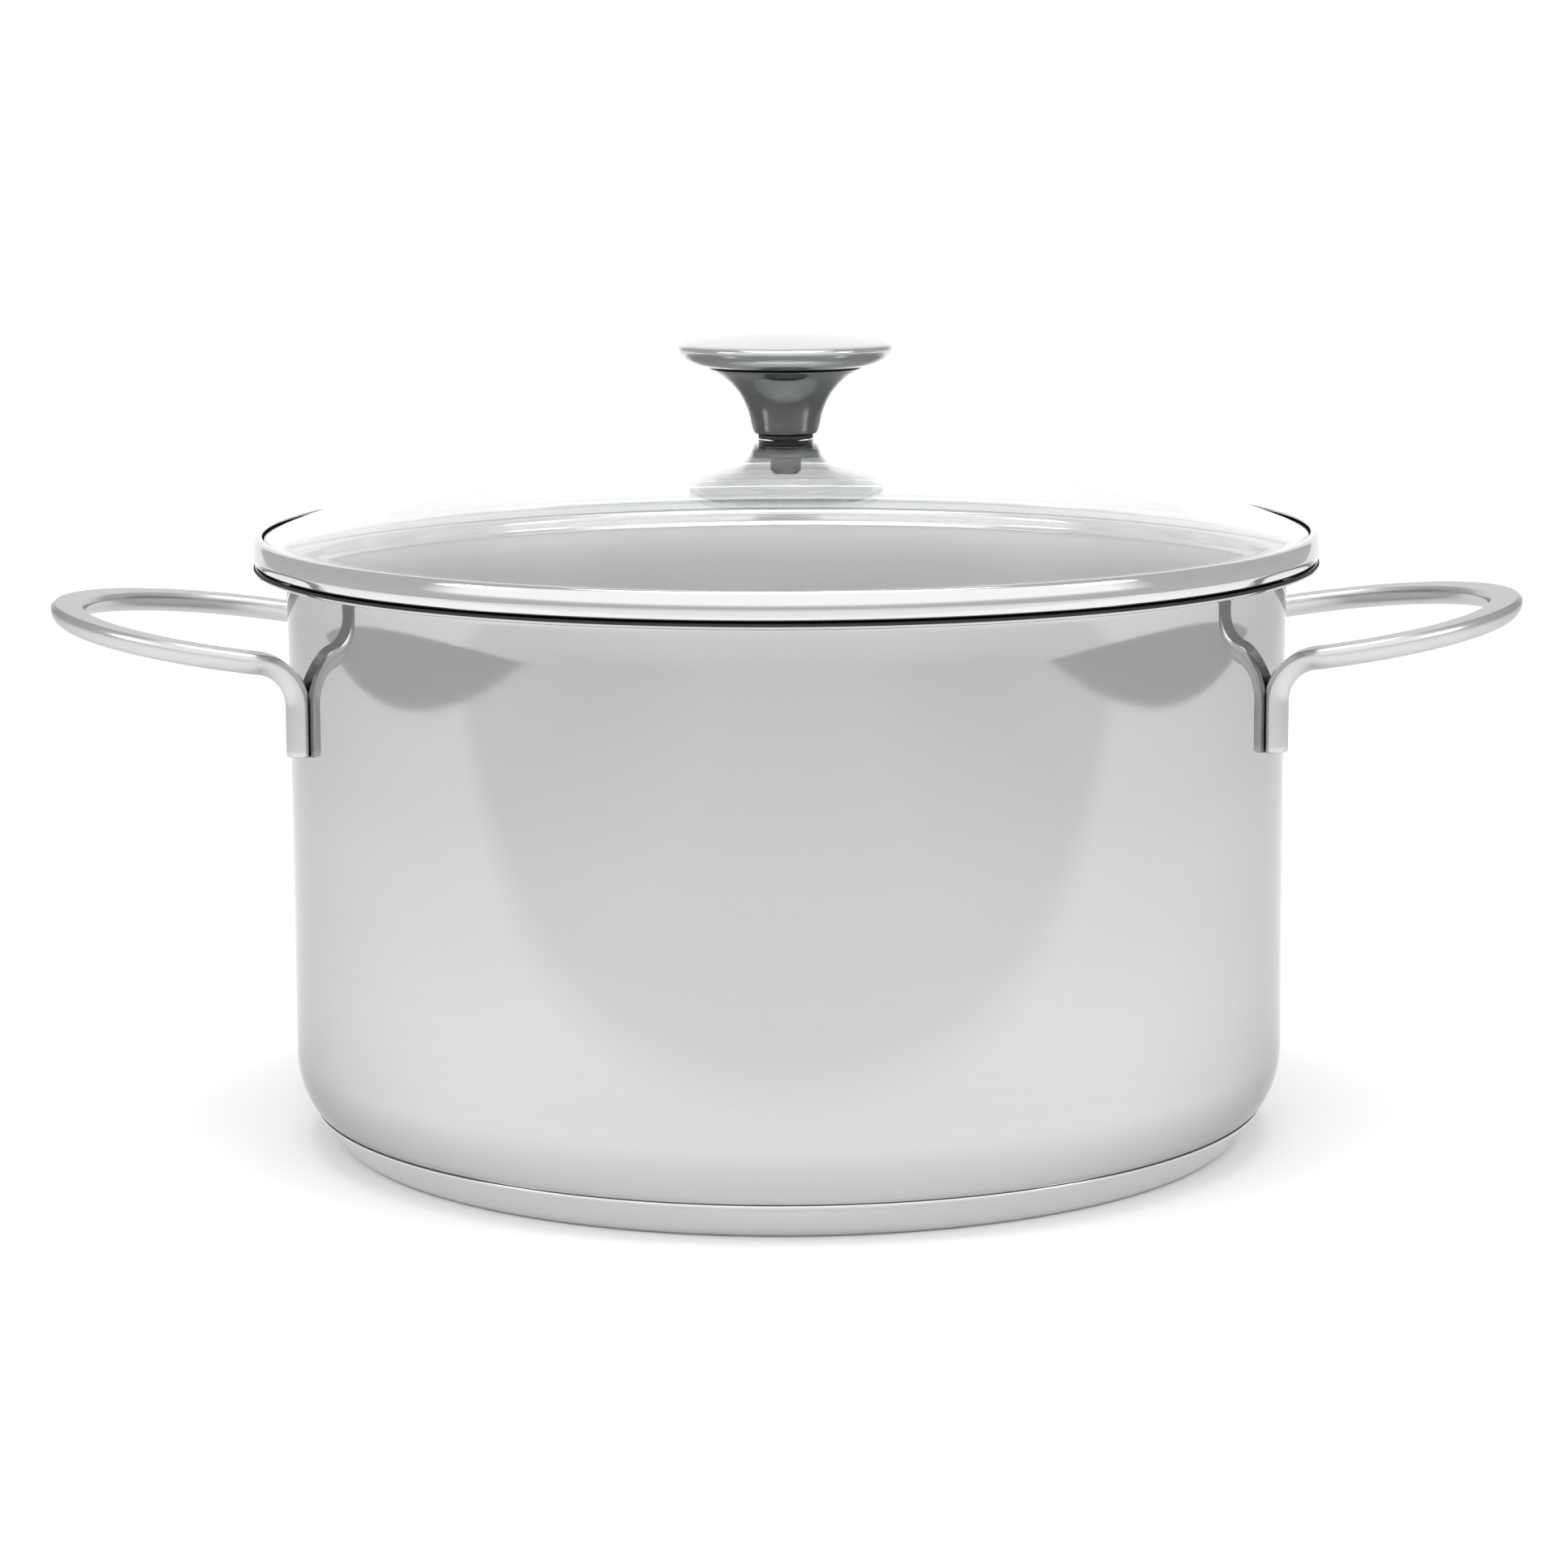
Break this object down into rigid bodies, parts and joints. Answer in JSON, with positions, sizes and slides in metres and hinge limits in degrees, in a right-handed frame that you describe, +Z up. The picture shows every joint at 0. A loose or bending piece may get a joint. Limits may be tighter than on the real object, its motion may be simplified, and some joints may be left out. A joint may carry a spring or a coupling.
{
  "type": "stock pot",
  "caption": "Lidded stainless steel stock pot with two loop handles, a capped heat-spreading base and a domed glass lid with a disc knob.",
  "frame": {"origin": "centre of the flat circle that the pot stands on", "axes": "+Z up, +X from one handle to the other, -Y towards the front"},
  "size_m": [0.3562, 0.2572, 0.1943],
  "materials": {
    "mirror_steel": "polished",
    "satin_steel": "satin",
    "aluminium": "satin",
    "glass": "gloss",
    "silicone": "satin",
    "brass": "satin"
  },
  "bodies": {
    "pot": {"pot_shell": "mirror_steel", "base_core": "aluminium", "base_cap": "mirror_steel", "handle_right": "satin_steel", "handle_left": "satin_steel"},
    "lid": {"lid_glass": "glass", "lid_ring": "mirror_steel", "rim_bedding": "silicone", "knob_cap": "satin_steel", "knob_stem": "satin_steel", "knob_bush": "brass", "upper_gasket": "silicone", "glass_grommet": "silicone", "lower_gasket": "silicone", "clamp_washer": "satin_steel", "lid_screw": "satin_steel"}
  },
  "joints": [
    {"name": "lid_lift", "type": "slide", "parent": "pot", "child": "lid", "axis": [0, 0, 1], "range_m": [0, 0.15]}
  ]
}
